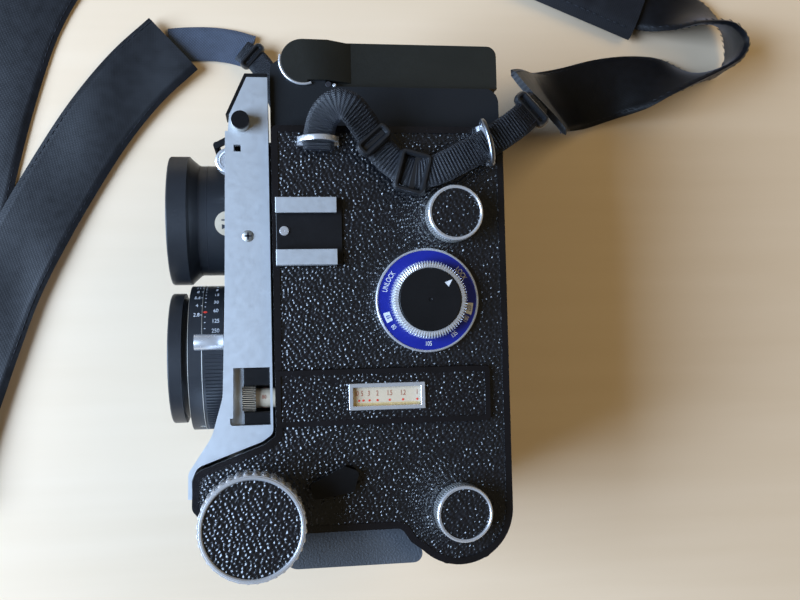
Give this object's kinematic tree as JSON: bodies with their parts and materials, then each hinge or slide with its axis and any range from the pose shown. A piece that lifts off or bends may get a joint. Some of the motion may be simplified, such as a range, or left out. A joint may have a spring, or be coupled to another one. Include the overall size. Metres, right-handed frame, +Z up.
{
  "type": "twin lens reflex camera",
  "caption": "Roll-film camera with a viewing lens above a taking lens on a sliding front standard, folding hood, hinged back, crank wind and padded neck strap.",
  "frame": {"origin": "on the surface the camera lies on, under the middle of its length and height without the strap", "axes": "the camera lies on its right-hand side: +X points to its back, -X is where the lenses look, +Y points to its top and +Z up, away from the surface, to its left side"},
  "size_m": [0.3721, 0.2966, 0.122],
  "materials": {
    "body_core": "satin black paint on a die-cast body",
    "side_rim": "gloss black enamel",
    "leatherette": "pebbled black leatherette",
    "black_paint": "semi-gloss black paint",
    "hood_paint": "fine-grained dark paint on sheet metal",
    "base_paint": "grey-blue crinkle paint",
    "bright_chrome": "polished plating",
    "satin_metal": "satin plated metal",
    "scale_paint": "cream enamel with engraved marks",
    "dial_blue": "blue enamel with white marks",
    "knob": "black knob with a leather disc and a bright rim",
    "screen": "ground glass",
    "mirror": "front-silvered mirror",
    "lens_glass": "coated lens glass",
    "plate_steel": "blackened steel",
    "bellows_leather": "folded black leather cloth",
    "spool": "moulded plastic",
    "webbing": "woven webbing",
    "buckle": "moulded black plastic",
    "tab_suede": "grey-blue suede",
    "pad_cloth": "quilted cloth"
  },
  "bodies": {
    "body": {"chassis": "body_core", "left_side_cover": "side_rim", "left_leatherette": "leatherette", "right_side_cover": "side_rim", "right_leatherette": "leatherette", "scale_cover": "black_paint", "scale_window_frame": "bright_chrome", "scale_plate": "scale_paint", "accessory_shoe": "satin_metal", "shoe_screws": "bright_chrome", "lock_dial_ring": "dial_blue", "base_block": "base_paint", "base_feet": "black_paint", "hood_frame": "body_core", "focusing_screen": "screen", "reflex_mirror": "mirror", "strap_lugs": "bright_chrome", "counter_window": "screen", "strap_webbing": "webbing", "strap_buckles": "buckle", "strap_tab": "tab_suede", "neck_strap": "webbing", "neck_pad": "pad_cloth"},
    "front_standard": {"front_standard": "satin_metal", "standard_top_cover": "black_paint", "lens_board": "black_paint", "focus_racks": "satin_metal", "viewing_barrel": "black_paint", "viewing_glass": "lens_glass", "shutter_housing": "black_paint", "taking_rim": "black_paint", "taking_glass": "lens_glass", "sync_terminal": "bright_chrome", "bellows": "bellows_leather"},
    "focus_drive": {"focus_shaft": "satin_metal", "left_focus_knob": "knob", "right_focus_knob": "knob"},
    "scale_rod": {"lens_scale_rod": "scale_paint"},
    "bail": {"bail_latch": "black_paint"},
    "aperture_ring": {"aperture_ring": "black_paint"},
    "speed_ring": {"speed_ring": "black_paint"},
    "cocking_lever": {"cocking_lever": "bright_chrome"},
    "lock_dial": {"lock_dial_knob": "knob"},
    "upper_spool_knob": {"upper_spool_knob": "knob"},
    "lower_spool_knob": {"lower_spool_knob": "knob"},
    "supply_spool": {"supply_spool": "spool"},
    "takeup_spool": {"takeup_spool": "spool"},
    "film_crank": {"film_crank": "black_paint"},
    "crank_handle": {"crank_handle": "knob"},
    "hood_lid": {"hood_lid": "hood_paint"},
    "hood_left_panel": {"hood_left_panel": "black_paint"},
    "hood_right_panel": {"hood_right_panel": "black_paint"},
    "hood_rear_panel": {"hood_rear_panel": "black_paint"},
    "magnifier": {"magnifier_plate": "black_paint", "magnifier_lens": "lens_glass"},
    "back_door": {"back_door": "body_core", "pressure_plate": "plate_steel"},
    "back_catch": {"back_catch": "bright_chrome"},
    "focus_lock": {"focus_lock_lever": "black_paint"},
    "shutter_button": {"shutter_button": "bright_chrome"}
  },
  "joints": [
    {"name": "focus_travel", "type": "slide", "parent": "body", "child": "front_standard", "axis": [-1, 0, 0], "range_m": [0, 0.055], "deforming": ["bellows"]},
    {"name": "focus_knob_turn", "type": "hinge", "parent": "body", "child": "focus_drive", "pos_m": [-0.0285, -0.06915, 0.061], "axis": [0, 0, 1], "range_deg": [0, 526]},
    {"name": "lens_scale_turn", "type": "hinge", "parent": "front_standard", "child": "scale_rod", "pos_m": [-0.03, -0.032, 0.093], "axis": [1, 0, 0], "continuous": true},
    {"name": "bail_swing", "type": "hinge", "parent": "front_standard", "child": "bail", "pos_m": [-0.0307, 0.0587, 0.061], "axis": [0, 0, -1], "range_deg": [0, 75]},
    {"name": "aperture_turn", "type": "hinge", "parent": "front_standard", "child": "aperture_ring", "pos_m": [-0.0476, -0.01865, 0.061], "axis": [1, 0, 0], "range_deg": [-35, 35]},
    {"name": "speed_turn", "type": "hinge", "parent": "front_standard", "child": "speed_ring", "pos_m": [-0.0416, -0.01865, 0.061], "axis": [1, 0, 0], "range_deg": [-40, 40]},
    {"name": "cocking_swing", "type": "hinge", "parent": "front_standard", "child": "cocking_lever", "pos_m": [-0.037, -0.01865, 0.061], "axis": [1, 0, 0], "range_deg": [0, 28], "stiffness_Nm_per_rad": 0.03},
    {"name": "lock_dial_turn", "type": "hinge", "parent": "body", "child": "lock_dial", "pos_m": [0.029, -0.001, 0.105], "axis": [0, 0, 1], "range_deg": [-192, 117]},
    {"name": "upper_knob_pull", "type": "slide", "parent": "body", "child": "upper_spool_knob", "axis": [0, 0, 1], "range_m": [0, 0.007], "stiffness_N_per_m": 250},
    {"name": "lower_knob_pull", "type": "slide", "parent": "body", "child": "lower_spool_knob", "axis": [0, 0, 1], "range_m": [0, 0.007], "stiffness_N_per_m": 250},
    {"name": "supply_spool_turn", "type": "hinge", "parent": "body", "child": "supply_spool", "pos_m": [0.0385, -0.0699, 0.061], "axis": [0, 0, 1], "continuous": true},
    {"name": "takeup_spool_turn", "type": "hinge", "parent": "body", "child": "takeup_spool", "pos_m": [0.038, 0.027, 0.061], "axis": [0, 0, 1], "continuous": true},
    {"name": "crank_turn", "type": "hinge", "parent": "body", "child": "film_crank", "pos_m": [0.024, 0.012, 0.01], "axis": [0, 0, 1], "continuous": true},
    {"name": "crank_handle_fold", "type": "hinge", "parent": "film_crank", "child": "crank_handle", "pos_m": [-0.01314, 0.03289, 0.00385], "axis": [0.4903, 0.8716, 0], "range_deg": [0, 170]},
    {"name": "hood_lid_open", "type": "hinge", "parent": "body", "child": "hood_lid", "pos_m": [-0.0099, 0.0805, 0.061], "axis": [0, 0, 1], "range_deg": [0, 90]},
    {"name": "left_panel_open", "type": "hinge", "parent": "body", "child": "hood_left_panel", "pos_m": [0.02, 0.0742, 0.09], "axis": [1, 0, 0], "range_deg": [0, 90]},
    {"name": "right_panel_open", "type": "hinge", "parent": "body", "child": "hood_right_panel", "pos_m": [0.02, 0.0742, 0.032], "axis": [-1, 0, 0], "range_deg": [0, 90]},
    {"name": "rear_panel_open", "type": "hinge", "parent": "body", "child": "hood_rear_panel", "pos_m": [0.0516, 0.0774, 0.061], "axis": [0, 0, -1], "range_deg": [0, 90]},
    {"name": "magnifier_raise", "type": "hinge", "parent": "hood_lid", "child": "magnifier", "pos_m": [0.045, 0.0846, 0.061], "axis": [0, 0, 1], "range_deg": [0, 90]},
    {"name": "back_open", "type": "hinge", "parent": "body", "child": "back_door", "pos_m": [0.0468, -0.0842, 0.061], "axis": [0, 0, -1], "range_deg": [0, 100]},
    {"name": "back_catch_slide", "type": "slide", "parent": "back_door", "child": "back_catch", "axis": [0, -1, 0], "range_m": [0, 0.003], "stiffness_N_per_m": 400},
    {"name": "focus_lock_swing", "type": "hinge", "parent": "body", "child": "focus_lock", "pos_m": [0.002, -0.0566, 0.105], "axis": [0, 0, 1], "range_deg": [0, 20]},
    {"name": "shutter_press", "type": "slide", "parent": "body", "child": "shutter_button", "axis": [1, 0, 0], "range_m": [0, 0.003], "stiffness_N_per_m": 400}
  ],
  "couplings": [
    {"joint": "focus_knob_turn", "follows": "focus_travel", "rad_per_m": 166.67},
    {"joint": "takeup_spool_turn", "follows": "crank_turn", "ratio": 1},
    {"joint": "left_panel_open", "follows": "hood_lid_open", "ratio": 1},
    {"joint": "right_panel_open", "follows": "hood_lid_open", "ratio": 1},
    {"joint": "rear_panel_open", "follows": "hood_lid_open", "ratio": 1},
    {"joint": "magnifier_raise", "follows": "hood_lid_open", "ratio": 1}
  ]
}
